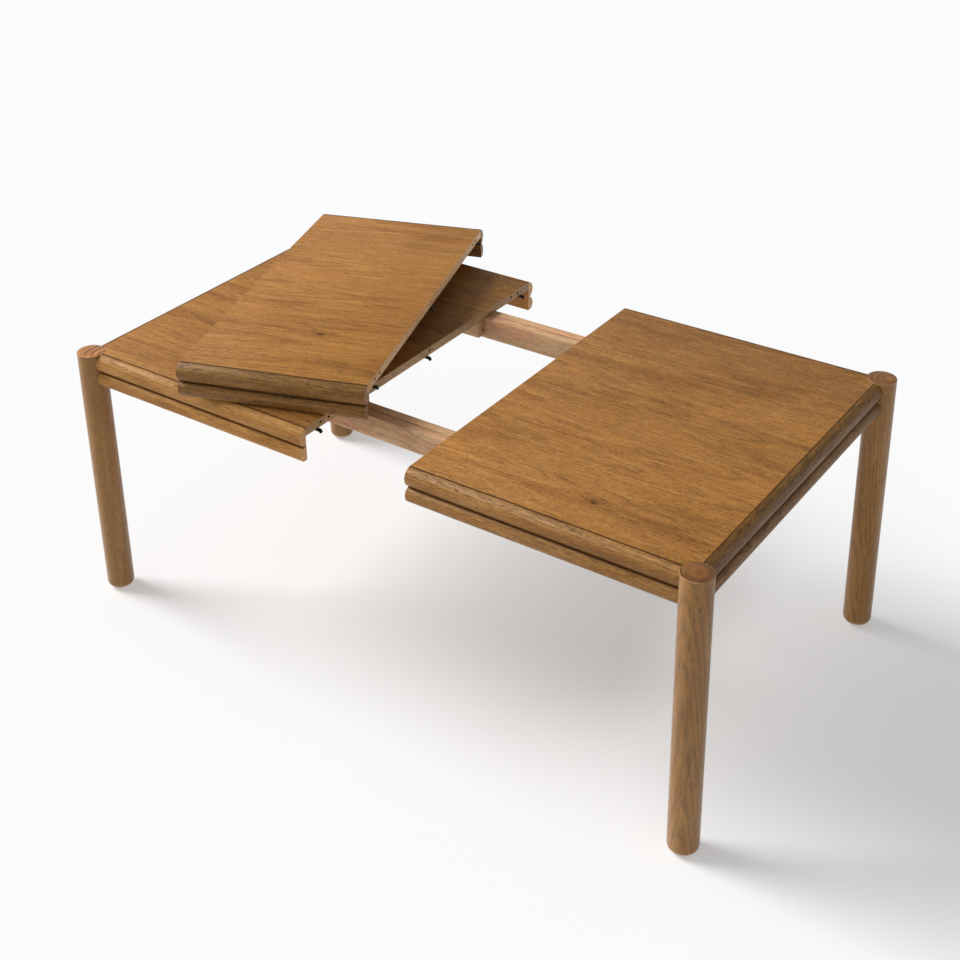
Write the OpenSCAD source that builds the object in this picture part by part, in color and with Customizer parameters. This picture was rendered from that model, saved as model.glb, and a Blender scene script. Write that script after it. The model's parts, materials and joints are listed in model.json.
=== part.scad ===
// Extending dining table: two half tables on telescoping rails, and a loose leaf.
// The halves are drawn part open, with the leaf lying turned on top of the left half.
// X runs along the table, Y across it (near side is -Y) and Z up from the floor.

/* [Table] */
// Height of the top above the floor
table_h = 762; // [730:1:790]
// Distance across the table between leg centres
leg_span = 1016; // [940:1:1040]
// Length of each half, from leg centre to seam
half_len = 755; // [740:1:800]
// Gap between the halves as drawn
gap = 320; // [300:1:330]

/* [Top] */
// Thickness of the top panels
panel_t = 24; // [22:1:26]
// Spacing between the two faces of a closed seam
seam_gap = 0.4; // [0.3:0.1:1]

/* [Aprons] */
// Apron height, measured from the top surface
apron_h = 91; // [88:1:96]
// Inner face of the apron, inside the leg centre line
apron_in = 6; // [5:0.5:8]
// Outermost face of both beads, outside the leg centre line
bead_out = 18; // [16:0.5:20]
// Radius of the upper bead
upper_r = 26; // [25.5:0.5:27]
// Radius of the lower bead
lower_r = 22.5; // [21:0.5:23]
// Height of the groove between the beads
groove_h = 3; // [2:0.5:4]

/* [Legs] */
// Leg diameter
leg_d = 76; // [70:1:80]
// Radius of the rounded foot edge
foot_r = 20; // [12:1:22]
// Easing of the leg's top edge
leg_ease = 1.5; // [1:0.5:3]
// Diameter of the foot glide
glide_d = 28; // [20:1:34]
// Thickness of the foot glide
glide_t = 3; // [2:0.5:4]

/* [Leaf] */
// Width of the loose leaf, along the table
leaf_w = 508; // [480:1:508]
// Leaf centre from the table centre, along the table
leaf_x = -459; // [-470:1:-450]
// Leaf centre from the table centre, across the table
leaf_y = 17; // [0:1:30]
// How far the leaf is turned as it lies on the left half
leaf_turn = 18.4; // [15:0.1:20]

/* [Slides] */
// Distance from the table centre line to the middle rail
slide_y = 292; // [280:1:310]
// Thickness of one rail
rail_w = 28; // [26:0.5:30]
// Height of one rail
rail_h = 62; // [56:1:64]
// Height of the rails fixed under the left half
left_rail_h = 51; // [50:1:62]
// Length of the rails fixed under the left half
left_rail_len = 690; // [640:1:700]
// Length of the middle rails
mid_rail_len = 800; // [760:1:820]
// Length of the rails fixed under the right half
right_rail_len = 900; // [860:1:920]
// How far the right rails reach out past the right seam
right_rail_reach = 440; // [420:1:460]
// How far the middle rails reach under the left half as drawn
mid_rail_reach = 300; // [280:1:320]
// How far the halves can still open as drawn
travel_out = 200; // [190:1:204]

/* [Hardware] */
// Distance from the table centre line to the outer seam hooks
hook_y = 458; // [440:1:462]
// Width of a seam hook
hook_w = 14; // [12:1:18]
// How far a seam hook reaches out past the seam
hook_reach = 13; // [12:1:16]
// Diameter of the seam dowel pins
pin_d = 8; // [6:0.5:9]
// Length of a dowel pin outside the edge
pin_out = 8; // [6:1:9]
// Diameter of the leg bolts
bolt_d = 8; // [6:1:9]

/* [Hidden] */
$fn = 64;

side_y = leg_span / 2;
panel_y = side_y - apron_in;
panel_x = half_len - apron_in;
under_z = table_h - panel_t;
leg_r = leg_d / 2;

// The turned leaf overhangs both long sides, so the whole outline is centred on it.
leaf_lift = apron_h + 0.3;
centre_y = leaf_y;

// Beads
upper_h = 50;
upper_c = bead_out - upper_r;
lower_h = apron_h - upper_h - groove_h;
lower_c = bead_out - lower_r;
waist = 4;

// Slides
rail_gap = 2;
pitch = rail_w + rail_gap;
rail_run = 0.6;
rail_z = under_z - rail_h;
slot_z = rail_z + rail_h / 2 - 1;
key_h = 8;
key_in = 6;
key_neck = 4;
key_head = 4.5;
key_head_h = 16;
key_play = 0.6;
rail_inset = 2;
stop_d = 5;
stop_in = 6;
stop_play = 1;
stop_bite = 16;
stop_clear = stop_in + stop_d / 2 + travel_out / 2 + stop_play;
left_key_inset = 10;
left_key_len = mid_rail_reach - rail_inset - stop_clear - left_key_inset;
right_key_len = 300;
right_key_x = gap / 2 - right_rail_reach + stop_clear;
left_rail_y = slide_y - pitch;
right_rail_y = slide_y + pitch;
left_face_y = -(left_rail_y + rail_w / 2);
right_face_y = -(right_rail_y - rail_w / 2);
stop_depth = key_neck + key_play + key_head / 2;

// Screws and seam hardware
screw_d = 5;
screw_head_d = 9;
screw_head_h = 4;
screw_bite = 16;
screw_sink = 40;
screw_shift = 3;
left_screw_y = -left_rail_y + screw_shift;
right_screw_y = -right_rail_y - screw_shift;
left_screw_xs = [60, 240, 440, 620];
right_screw_xs = [40, 180, 310, 430];
small_screw_d = 3.5;
small_head_d = 7;
small_head_h = 2.2;
small_bite = 14;
plate_t = 3;
plate_len = 34;
tongue_t = plate_t - rail_run;
tip_r = 8;
catch_play = 0.8;
catch_t = 2.5;
catch_len = 18;
catch_in = 3;
catch_drop = rail_run + tip_r + catch_play;
catch_flange = 20;
hook_ys = [-hook_y, 0, hook_y];
pin_shift = 13;
pin_pitch = 33;
pin_step = pin_shift + pin_pitch;
pin_ys = [-hook_y + pin_shift, -hook_y + pin_step, pin_shift, hook_y - pin_step, hook_y - pin_shift];
pin_z = table_h - 11;
pin_in = 18;
pin_play = 0.4;

// Corner blocks and leg bolts
block_leg = 96;
block_h = 56;
bolt_in = 18;
bolt_out = 16;
bolt_zs = [under_z - 16, under_z - 42];
block_face = (block_leg + 2 * apron_in) / sqrt(2);
washer_t = 2;
nut_t = 6.5;

// Colours
top_wood = "#a5733e";
bead_wood = "#a37b50";
leg_wood = "#96734b";
slide_wood = "#c29c7a";
inner_wood = "#b98f62";
black_metal = "#1c1c1e";
zinc = "#b4b4b0";
felt_grey = "#5a5652";

// ---- Placing ----

// A half is drawn with its seam at x = 0 and its legs at +x.
module right() translate([gap / 2, -centre_y, 0]) children();
module left() translate([-gap / 2, -centre_y, 0]) mirror([1, 0, 0]) children();
module centre() translate([0, -centre_y, 0]) children();
module far_side() mirror([0, 1, 0]) children();
module both_sides() {
    children();
    far_side() children();
}

// The leaf is drawn at the level it has between the halves, centred on x = 0.
module leaf() {
    translate([leaf_x, leaf_y - centre_y, leaf_lift]) rotate(leaf_turn) children();
}
// The leaf edge that faces the right half, drawn like the seam of the left half
module leaf_hook_edge() leaf() translate([leaf_w / 2, 0, 0]) mirror([1, 0, 0]) children();
// The leaf edge that faces the left half, drawn like the seam of the right half
module leaf_catch_edge() leaf() translate([-leaf_w / 2, 0, 0]) children();

// ---- Beads and aprons ----

// Section of the double bead: x outwards from the leg centre line, y up from the floor
module bead_section() {
    intersection() {
        translate([-apron_in, table_h - apron_h]) square([apron_in + bead_out, apron_h]);
        union() {
            translate([upper_c, table_h - upper_r]) circle(upper_r);
            translate([lower_c, table_h - apron_h + lower_h / 2]) circle(lower_r);
            translate([-apron_in, table_h - apron_h]) square([apron_in + waist, apron_h - upper_r]);
        }
        // A groove parts the two beads.
        difference() {
            translate([-apron_in, 0]) square([apron_in + bead_out, table_h]);
            translate([waist, table_h - upper_h - groove_h]) square([bead_out, groove_h]);
        }
    }
}

// Double bead of a given length along +x, on the near side
module side_bead(from, to) {
    translate([from, 0, 0]) rotate([90, 0, 90]) linear_extrude(to - from)
        translate([-side_y, 0]) mirror([1, 0]) bead_section();
}

module leg_space(x) translate([x, -side_y, -1]) cylinder(h = table_h + 2, r = leg_r);

module side_apron() {
    color(bead_wood) difference() {
        side_bead(seam_gap / 2, half_len);
        leg_space(half_len);
    }
}

module end_apron() {
    color(bead_wood) difference() {
        translate([half_len, side_y, 0]) rotate([90, 0, 0]) linear_extrude(leg_span) bead_section();
        both_sides() leg_space(half_len);
    }
}

// ---- Panels ----

module pin_holes(at) {
    for (y = at)
        translate([-1, y, pin_z]) rotate([0, 90, 0])
            cylinder(h = pin_in + 1, d = pin_d + 2 * pin_play, $fn = 32);
}

module pin_sockets(at) {
    for (y = at)
        translate([-1, y, pin_z]) rotate([0, 90, 0]) cylinder(h = pin_in + 1, d = pin_d, $fn = 32);
}

// Half panel with its seam at x = 0, without the holes
module half_board() {
    difference() {
        translate([seam_gap / 2, -panel_y, under_z]) cube([panel_x - seam_gap / 2, 2 * panel_y, panel_t]);
        both_sides() leg_space(half_len);
    }
}

module left_board() {
    color(top_wood) difference() {
        half_board();
        pin_holes(pin_ys);
        plate_pilots();
        both_sides() rail_pilots(left_screw_xs, left_screw_y);
    }
}

module right_board() {
    color(top_wood) difference() {
        half_board();
        pin_sockets(pin_ys);
        catch_pilots();
        both_sides() rail_pilots(right_screw_xs, right_screw_y);
    }
}

module leaf_board() {
    color(top_wood) difference() {
        leaf() translate([-leaf_w / 2, -panel_y, under_z]) cube([leaf_w, 2 * panel_y, panel_t]);
        leaf_hook_edge() pin_holes(pin_ys);
        leaf_hook_edge() plate_pilots();
        leaf_catch_edge() pin_sockets(pin_ys);
        leaf_catch_edge() catch_pilots();
    }
}

// ---- Legs ----

module leg() {
    color(leg_wood) difference() {
        translate([half_len, -side_y, 0]) rotate_extrude($fn = 96) leg_section();
        leg_bolts_at(bolt_d);
        glide_nail();
    }
}

// Half section of a leg: a straight post with a rounded foot and an eased top
module leg_section() {
    translate([0, glide_t]) square([leg_r - foot_r, table_h - glide_t]);
    translate([0, glide_t + foot_r]) square([leg_r, table_h - glide_t - foot_r - leg_ease]);
    translate([0, table_h - leg_ease]) square([leg_r - leg_ease, leg_ease]);
    intersection() {
        translate([leg_r - foot_r, glide_t + foot_r]) circle(foot_r);
        translate([0, glide_t]) square([leg_r, foot_r + 1]);
    }
    translate([leg_r - leg_ease, table_h - leg_ease]) intersection() {
        circle(leg_ease);
        square(leg_ease);
    }
}

module glide_nail() {
    translate([half_len, -side_y, glide_t]) cylinder(h = 14, d = 3, $fn = 24);
}

module glide() {
    color(felt_grey) {
        translate([half_len, -side_y, 0]) cylinder(h = glide_t, d = glide_d);
        glide_nail();
    }
}

// Axis frame of a leg bolt: origin on the leg centre, +x towards the table's inside corner
module bolt_frame(z) translate([half_len, -side_y, z]) rotate(135) children();

module leg_bolts_at(d) {
    for (z = bolt_zs)
        bolt_frame(z) translate([leg_r - bolt_in, 0, 0]) rotate([0, 90, 0])
            cylinder(h = block_face + bolt_out - leg_r + bolt_in, d = d, $fn = 32);
}

module leg_bolts() color(zinc) leg_bolts_at(bolt_d);

module ring_on_bolt(across, thick, start, fn) {
    for (z = bolt_zs)
        bolt_frame(z) translate([start, 0, 0]) rotate([0, 90, 0]) difference() {
            cylinder(h = thick, d = across, $fn = fn);
            translate([0, 0, -1]) cylinder(h = thick + 2, d = bolt_d, $fn = 32);
        }
}

module leg_washers() color(zinc) ring_on_bolt(20, washer_t, block_face, 48);
module leg_nuts() color(zinc) ring_on_bolt(15, nut_t, block_face + washer_t, 6);

// Glued block that fills the corner behind a leg
module corner_block() {
    color(inner_wood) difference() {
        translate([half_len - apron_in, -side_y + apron_in, under_z - block_h])
            linear_extrude(block_h) polygon([[0, 0], [-block_leg, 0], [0, block_leg]]);
        leg_space(half_len);
        leg_bolts_at(bolt_d + 1);
    }
}

// ---- Slides ----

// Screw holes in a panel, from below
module rail_pilots(xs, y) {
    for (x = xs) translate([x, y, under_z - 1]) cylinder(h = screw_bite + 1, d = screw_d, $fn = 32);
}

module rail_screws(xs, y) {
    color(zinc) for (x = xs) translate([x, y, rail_z + screw_sink]) {
        translate([0, 0, -screw_head_h]) cylinder(h = screw_head_h, d = screw_head_d, $fn = 32);
        cylinder(h = rail_h - screw_sink + screw_bite, d = screw_d, $fn = 32);
    }
}

module rail_screw_holes(xs, y) {
    for (x = xs) translate([x, y, rail_z]) {
        translate([0, 0, -1]) cylinder(h = screw_sink + 1, d = screw_head_d + 1, $fn = 32);
        cylinder(h = rail_h + 1, d = screw_d, $fn = 32);
    }
}

// Slot for a T key, open on the rail's face at y = 0 and running into -y
module key_slot(x, length) {
    translate([x, 0, slot_z]) {
        translate([0, -key_neck, -key_h / 2 - key_play])
            cube([length, key_neck + 1, key_h + 2 * key_play]);
        translate([0, -key_neck - key_head - 2 * key_play, -key_head_h / 2 - key_play])
            cube([length, key_head + 2 * key_play, key_head_h + 2 * key_play]);
    }
}

// T key: glued into the middle rail's face at y = 0, with its head towards -y
module key(x, length) {
    shoulder = rail_gap + key_neck + key_play;
    translate([x, 0, slot_z]) {
        translate([0, -shoulder, -key_h / 2]) cube([length, shoulder + key_in, key_h]);
        translate([0, -shoulder - key_head, -key_head_h / 2]) cube([length, key_head, key_head_h]);
    }
}

// Upright pin that crosses a slot near its end and stops the key
module stop_pin(x, y) {
    translate([x, y, slot_z - stop_bite])
        cylinder(h = under_z - 1 - slot_z + stop_bite, d = stop_d, $fn = 32);
}

module left_stop() stop_pin(rail_inset + stop_in, left_face_y + stop_depth);
module right_stop() stop_pin(-right_rail_reach + stop_in, right_face_y - stop_depth);

// Rail under the left half, near side: it lies inside the middle rail
module left_rail() {
    color(slide_wood) difference() {
        translate([rail_inset, -left_rail_y - rail_w / 2, under_z - left_rail_h])
            cube([left_rail_len, rail_w, left_rail_h]);
        translate([0, left_face_y, 0]) far_side() key_slot(0, left_rail_len + 2 * rail_inset);
        left_stop();
        rail_screw_holes(left_screw_xs, left_screw_y);
    }
}

// Rail under the right half, near side: it lies outside the middle rail
module right_rail() {
    color(slide_wood) difference() {
        translate([-right_rail_reach, -right_rail_y - rail_w / 2, rail_z])
            cube([right_rail_len, rail_w, rail_h]);
        translate([-right_rail_reach - 1, -right_rail_y - rail_w, under_z - rail_run])
            cube([right_rail_reach + 2, 2 * rail_w, rail_h]);
        translate([0, right_face_y, 0]) key_slot(-right_rail_reach - 1, right_rail_len + 2);
        right_stop();
        rail_screw_holes(right_screw_xs, right_screw_y);
    }
}

// Middle rail, near side, with a key glued in each face
module middle_rail() {
    x = -gap / 2 - mid_rail_reach;
    color(slide_wood) difference() {
        translate([x, -slide_y - rail_w / 2, rail_z]) cube([mid_rail_len, rail_w, rail_h - rail_run]);
        middle_keys_solid();
    }
}

module middle_keys_solid() {
    translate([0, -slide_y + rail_w / 2, 0]) far_side()
        key(-gap / 2 - mid_rail_reach + left_key_inset, left_key_len);
    translate([0, -slide_y - rail_w / 2, 0]) key(right_key_x, right_key_len);
}

module middle_keys() color(inner_wood) middle_keys_solid();

// ---- Seam hardware ----

module small_screw(x, y, z) {
    translate([x, y, z]) {
        translate([0, 0, -small_head_h]) cylinder(h = small_head_h, d = small_head_d, $fn = 32);
        cylinder(h = under_z - z + small_bite, d = small_screw_d, $fn = 24);
    }
}

module small_pilot(x, y) {
    translate([x, y, under_z - 1]) cylinder(h = small_bite + 1, d = small_screw_d, $fn = 24);
}

hook_screw_xs = [12, 26];

module plate_pilots() {
    for (y = hook_ys, x = hook_screw_xs) small_pilot(x, y);
}

// Steel hooks under a seam edge: flat plates with a tongue that curls down past the edge
module hooks() {
    color(black_metal) for (y = hook_ys) translate([0, y - hook_w / 2, 0]) difference() {
        union() {
            translate([2, 0, under_z - plate_t]) cube([plate_len, hook_w, plate_t]);
            translate([tip_r - hook_reach, 0, under_z - plate_t])
                cube([hook_reach - tip_r + 2, hook_w, tongue_t]);
            translate([tip_r - hook_reach, 0, under_z - rail_run - tip_r]) hook_tip();
        }
        for (x = hook_screw_xs)
            translate([x, hook_w / 2, under_z - plate_t - 1])
                cylinder(h = plate_t + 2, d = small_screw_d, $fn = 24);
    }
}

// Quarter ring about the y axis, from straight up round to -x
module hook_tip() {
    intersection() {
        rotate([-90, 0, 0]) difference() {
            cylinder(h = hook_w, r = tip_r);
            translate([0, 0, -1]) cylinder(h = hook_w + 2, r = tip_r - tongue_t);
        }
        translate([-tip_r, 0, 0]) cube([tip_r, hook_w, tip_r]);
    }
}

module hook_screws() {
    color(zinc) for (y = hook_ys, x = hook_screw_xs) small_screw(x, y, under_z - plate_t);
}

catch_screw_x = catch_in + catch_len / 2;
catch_half = hook_w / 2 + catch_play + catch_t;
catch_screw_y = catch_half + catch_flange / 2;

module catch_pilots() {
    for (y = hook_ys, s = [-1, 1]) small_pilot(catch_screw_x, y + s * catch_screw_y);
}

// Steel catches: a channel below the edge that a hook's tongue runs into
module catches() {
    color(black_metal) for (y = hook_ys) translate([catch_in, y, under_z]) difference() {
        translate([0, -catch_half - catch_flange, -catch_drop - catch_t])
            cube([catch_len, 2 * (catch_half + catch_flange), catch_drop + catch_t]);
        translate([-1, -catch_half + catch_t, -catch_drop])
            cube([catch_len + 2, 2 * (catch_half - catch_t), catch_drop + 1]);
        for (s = [-1, 1]) {
            translate([-1, s * (catch_half + catch_flange) - catch_flange, -catch_drop - catch_t - 1])
                cube([catch_len + 2, 2 * catch_flange, catch_drop + 1]);
            translate([catch_screw_x - catch_in, s * catch_screw_y, -catch_t - 1])
                cylinder(h = catch_t + 2, d = small_screw_d, $fn = 24);
        }
    }
}

module catch_screws() {
    color(zinc) for (y = hook_ys, s = [-1, 1])
        small_screw(catch_screw_x, y + s * catch_screw_y, under_z - catch_t);
}

// Dowel pins in a seam edge, with rounded tips
module seam_pins() {
    color(inner_wood) for (y = pin_ys) translate([-pin_out, y, pin_z]) rotate([0, 90, 0]) {
        translate([0, 0, 1]) cylinder(h = pin_in + pin_out - 1, d = pin_d, $fn = 32);
        cylinder(h = 1, d1 = pin_d - 2, d2 = pin_d, $fn = 32);
    }
}

// ---- Nodes ----

module left_panel() left() left_board();
module left_near_apron() left() side_apron();
module left_far_apron() left() far_side() side_apron();
module left_end_apron() left() end_apron();
module left_near_leg() left() leg();
module left_far_leg() left() far_side() leg();
module left_corner_blocks() left() both_sides() corner_block();
module left_leg_bolts() left() both_sides() leg_bolts();
module left_leg_washers() left() both_sides() leg_washers();
module left_leg_nuts() left() both_sides() leg_nuts();
module left_glides() left() both_sides() glide();
module left_near_rail() left() left_rail();
module left_far_rail() left() far_side() left_rail();
module left_rail_screws() left() both_sides() rail_screws(left_screw_xs, left_screw_y);
module left_stop_pins() color(zinc) left() both_sides() left_stop();
module left_hooks() left() hooks();
module left_hook_screws() left() hook_screws();

module right_panel() right() right_board();
module right_near_apron() right() side_apron();
module right_far_apron() right() far_side() side_apron();
module right_end_apron() right() end_apron();
module right_near_leg() right() leg();
module right_far_leg() right() far_side() leg();
module right_corner_blocks() right() both_sides() corner_block();
module right_leg_bolts() right() both_sides() leg_bolts();
module right_leg_washers() right() both_sides() leg_washers();
module right_leg_nuts() right() both_sides() leg_nuts();
module right_glides() right() both_sides() glide();
module right_near_rail() right() right_rail();
module right_far_rail() right() far_side() right_rail();
module right_rail_screws() right() both_sides() rail_screws(right_screw_xs, right_screw_y);
module right_stop_pins() color(zinc) right() both_sides() right_stop();
module right_catches() right() catches();
module right_catch_screws() right() catch_screws();
module right_seam_pins() right() seam_pins();

module near_centre_rail() centre() middle_rail();
module near_centre_keys() centre() middle_keys();
module far_centre_rail() centre() far_side() middle_rail();
module far_centre_keys() centre() far_side() middle_keys();

module leaf_panel() leaf_board();
module leaf_near_skirt() color(bead_wood) leaf() side_bead(-leaf_w / 2, leaf_w / 2);
module leaf_far_skirt() color(bead_wood) leaf() far_side() side_bead(-leaf_w / 2, leaf_w / 2);
module leaf_hooks() leaf_hook_edge() hooks();
module leaf_hook_screws() leaf_hook_edge() hook_screws();
module leaf_catches() leaf_catch_edge() catches();
module leaf_catch_screws() leaf_catch_edge() catch_screws();
module leaf_seam_pins() leaf_catch_edge() seam_pins();

left_panel();
left_near_apron();
left_far_apron();
left_end_apron();
left_near_leg();
left_far_leg();
left_corner_blocks();
left_leg_bolts();
left_leg_washers();
left_leg_nuts();
left_glides();
left_near_rail();
left_far_rail();
left_rail_screws();
left_stop_pins();
left_hooks();
left_hook_screws();
right_panel();
right_near_apron();
right_far_apron();
right_end_apron();
right_near_leg();
right_far_leg();
right_corner_blocks();
right_leg_bolts();
right_leg_washers();
right_leg_nuts();
right_glides();
right_near_rail();
right_far_rail();
right_rail_screws();
right_stop_pins();
right_catches();
right_catch_screws();
right_seam_pins();
near_centre_rail();
near_centre_keys();
far_centre_rail();
far_centre_keys();
leaf_panel();
leaf_near_skirt();
leaf_far_skirt();
leaf_hooks();
leaf_hook_screws();
leaf_catches();
leaf_catch_screws();
leaf_seam_pins();
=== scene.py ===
"""Looks of the extending dining table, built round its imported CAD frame.

The boards, double-bead aprons, legs, rails and hooks are rebuilt with eased edges, at the
places that their CAD nodes give. The other CAD nodes keep their shape and get a material.
All lengths are metres. Wooden pieces are drawn in "table space", where the table's centre
line is y = 0, so that the loose leaf is drawn untwisted and its grain turns with it.
"""

import json
import math
from typing import NamedTuple

import bmesh
import bpy
from mathutils import Matrix, Vector

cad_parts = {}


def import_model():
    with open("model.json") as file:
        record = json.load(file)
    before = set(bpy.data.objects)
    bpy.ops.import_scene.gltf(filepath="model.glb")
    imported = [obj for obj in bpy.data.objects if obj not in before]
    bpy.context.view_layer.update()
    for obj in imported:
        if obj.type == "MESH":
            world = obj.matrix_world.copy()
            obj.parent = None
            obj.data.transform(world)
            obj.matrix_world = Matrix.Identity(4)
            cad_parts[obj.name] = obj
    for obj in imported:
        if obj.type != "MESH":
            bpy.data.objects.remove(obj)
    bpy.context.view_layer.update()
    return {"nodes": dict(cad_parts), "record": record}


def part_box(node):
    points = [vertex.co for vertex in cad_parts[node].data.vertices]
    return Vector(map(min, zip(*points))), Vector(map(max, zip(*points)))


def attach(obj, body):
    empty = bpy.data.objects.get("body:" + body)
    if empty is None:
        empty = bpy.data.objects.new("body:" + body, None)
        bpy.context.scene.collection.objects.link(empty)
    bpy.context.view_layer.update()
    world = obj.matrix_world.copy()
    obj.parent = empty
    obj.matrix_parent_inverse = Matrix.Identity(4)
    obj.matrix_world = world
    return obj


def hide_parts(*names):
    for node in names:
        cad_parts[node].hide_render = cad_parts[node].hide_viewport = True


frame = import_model()
BODY_OF = {n: b for b, ns in frame["record"]["behaviour"]["bodies"].items() for n in ns}

# ---- Places, from the CAD ----
HALF_LOW, HALF_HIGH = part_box("right_panel")
LEG_LOW, LEG_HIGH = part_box("right_near_leg")
LEAF_LOW, LEAF_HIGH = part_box("leaf_panel")
TOP_Z = HALF_HIGH.z
UNDER_Z = HALF_LOW.z
CENTRE_Y = (HALF_LOW.y + HALF_HIGH.y) / 2
SEAM_X = HALF_LOW.x
PANEL_X = HALF_HIGH.x
PANEL_Y = HALF_HIGH.y - CENTRE_Y
LEG_X = (LEG_LOW.x + LEG_HIGH.x) / 2
LEG_Y = CENTRE_Y - (LEG_LOW.y + LEG_HIGH.y) / 2
LEG_R = (LEG_HIGH.x - LEG_LOW.x) / 2
LEG_FOOT_Z = LEG_LOW.z

LEAF_TURN = math.radians(18.4)
LEAF_SPAN = LEAF_HIGH - LEAF_LOW
LEAF_W = (
    LEAF_SPAN.x * math.cos(LEAF_TURN) - LEAF_SPAN.y * math.sin(LEAF_TURN)
) / math.cos(2 * LEAF_TURN)
TABLE = Matrix.Translation((0, CENTRE_Y, 0))
LEAF_MID = (LEAF_LOW + LEAF_HIGH) / 2
LEAF = Matrix.Translation((LEAF_MID.x, LEAF_MID.y, LEAF_HIGH.z - TOP_Z)) @ Matrix.Rotation(
    LEAF_TURN, 4, "Z"
)

# ---- Shapes ----
# Section of the double bead, out from the leg centre line and down from the top
UPPER_R = 0.026
UPPER_OUT = -0.008
LOWER_R = 0.0225
LOWER_OUT = -0.0045
LOWER_DOWN = 0.072
GROOVE_DOWN = 0.053
WAIST = 0.004
APRON_IN = 0.006
APRON_H = 0.091
ARC_STEPS = 16

FOOT_R = 0.020
LEG_EASE = 0.0015
LEG_STEPS = 96
COPE_GAP = 0.0003

EDGE_EASE = 0.0009
JOINT_EASE = 0.0012
RAIL_EASE = 0.0018
SHARP_ANGLE = math.radians(32)

PIN_YS = (-0.445, -0.412, 0.013, 0.412, 0.445)
PIN_Z = TOP_Z - 0.011
PIN_DEPTH = 0.018
BORE_LEAD = 0.010
PIN_R = 0.004
PIN_PLAY = 0.0004

# T slot in a rail's face: half heights and depths of its neck and its head
SLOT_Z = UNDER_Z - 0.032
SLOT_NECK = (0.0046, 0.004)
SLOT_HEAD = (0.0086, 0.0097)
SCREW_R = 0.005
SCREW_Z = UNDER_Z - 0.026
SCREW_SHIFT = 0.003
LEFT_SCREW_XS = (-0.22, -0.40, -0.60, -0.78)
RIGHT_SCREW_XS = (0.20, 0.34, 0.47, 0.59)

HOOK_YS = (-0.458, 0.0, 0.458)
HOOK_PLATE = 0.003
HOOK_TONGUE = 0.0024
HOOK_RUN = 0.0006
HOOK_TIP_R = 0.008
HOOK_REACH = 0.013
HOOK_HALF = 0.007
HOOK_BACK = 0.036
HOOK_CORNER = (0.0025, 0.0015)
HOOK_NECK = (-0.003, -0.001)
HOOK_TRIMS = (0.0002, 0.0004, 0.0005)
HOOK_TAPER = 0.0022
HOOK_THINNING = 0.25
HOOK_STEPS = 8
HOOK_EASE = 0.0005


def arc(centre, radius, start, end, steps=ARC_STEPS):
    """Points on an arc about (x, y), with its angles in degrees."""
    turns = [math.radians(start + (end - start) * i / steps) for i in range(steps + 1)]
    return [(centre[0] + radius * math.cos(t), centre[1] + radius * math.sin(t)) for t in turns]


def bead_section():
    """The double bead as (out, z) points, from its inner top corner round to its inner foot."""
    reach = -APRON_IN - UPPER_OUT
    top = math.degrees(math.acos(reach / UPPER_R))
    low = math.degrees(math.acos((WAIST - UPPER_OUT) / UPPER_R))
    half = LOWER_DOWN - GROOVE_DOWN
    lower = math.degrees(math.asin(half / LOWER_R))
    points = arc((UPPER_OUT, TOP_Z - UPPER_R), UPPER_R, top, -low)
    points.append((WAIST, TOP_Z - GROOVE_DOWN))
    points += arc((LOWER_OUT, TOP_Z - LOWER_DOWN), LOWER_R, lower, -lower)
    points.append((-APRON_IN, TOP_Z - APRON_H))
    return points


def rail_section(y, z_low, z_high, width, slot_side):
    """A rail's section as (y, z) points, with a T slot in the face on slot_side, or none at 0."""
    half = width / 2
    if not slot_side:
        return [(y - half, z_low), (y + half, z_low), (y + half, z_high), (y - half, z_high)]
    face = y + slot_side * half
    back = y - slot_side * half
    (neck, neck_in), (head, head_in) = SLOT_NECK, SLOT_HEAD
    inner, floor = face - slot_side * neck_in, face - slot_side * head_in
    return [
        (back, z_low),
        (face, z_low),
        (face, SLOT_Z - neck),
        (inner, SLOT_Z - neck),
        (inner, SLOT_Z - head),
        (floor, SLOT_Z - head),
        (floor, SLOT_Z + head),
        (inner, SLOT_Z + head),
        (inner, SLOT_Z + neck),
        (face, SLOT_Z + neck),
        (face, z_high),
        (back, z_high),
    ]


# ---- Meshes ----


def loft(rings):
    """A closed mesh through rings of points, with a face over each end."""
    bm = bmesh.new()
    rows = [[bm.verts.new(p) for p in ring] for ring in rings]
    for low, high in zip(rows, rows[1:]):
        for i in range(len(low)):
            j = (i + 1) % len(low)
            bm.faces.new((low[i], low[j], high[j], high[i]))
    bm.faces.new(reversed(rows[0]))
    bm.faces.new(rows[-1])
    bmesh.ops.recalc_face_normals(bm, faces=bm.faces)
    return bm


def ease(bm, width, skip=None, steps=2):
    """Rounds the sharp edges, apart from those that skip(edge) names."""
    sharp = [
        e
        for e in bm.edges
        if e.is_manifold
        and abs(e.calc_face_angle()) > SHARP_ANGLE
        and not (skip and skip(e))
    ]
    bmesh.ops.bevel(
        bm, geom=sharp, offset=width, segments=steps, profile=0.5, affect="EDGES", clamp_overlap=True
    )
    return bm


def rods(places, axis, radius, steps=32):
    """Round rods, one mesh: each place is a start and an end along the axis (0 is x, 2 is z)."""
    bm = bmesh.new()
    turn = Matrix.Rotation(math.radians(90), 4, "Y") if axis == 0 else Matrix.Identity(4)
    for start, end in places:
        start, end = Vector(start), Vector(end)
        move = Matrix.Translation((start + end) / 2) @ turn
        bmesh.ops.create_cone(
            bm,
            cap_ends=True,
            segments=steps,
            radius1=radius,
            radius2=radius,
            depth=(end - start).length,
            matrix=move,
        )
    return bm


def object_of(name, bm):
    mesh = bpy.data.meshes.new(name)
    bm.to_mesh(mesh)
    bm.free()
    piece = bpy.data.objects.new(name, mesh)
    bpy.context.scene.collection.objects.link(piece)
    return piece


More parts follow.
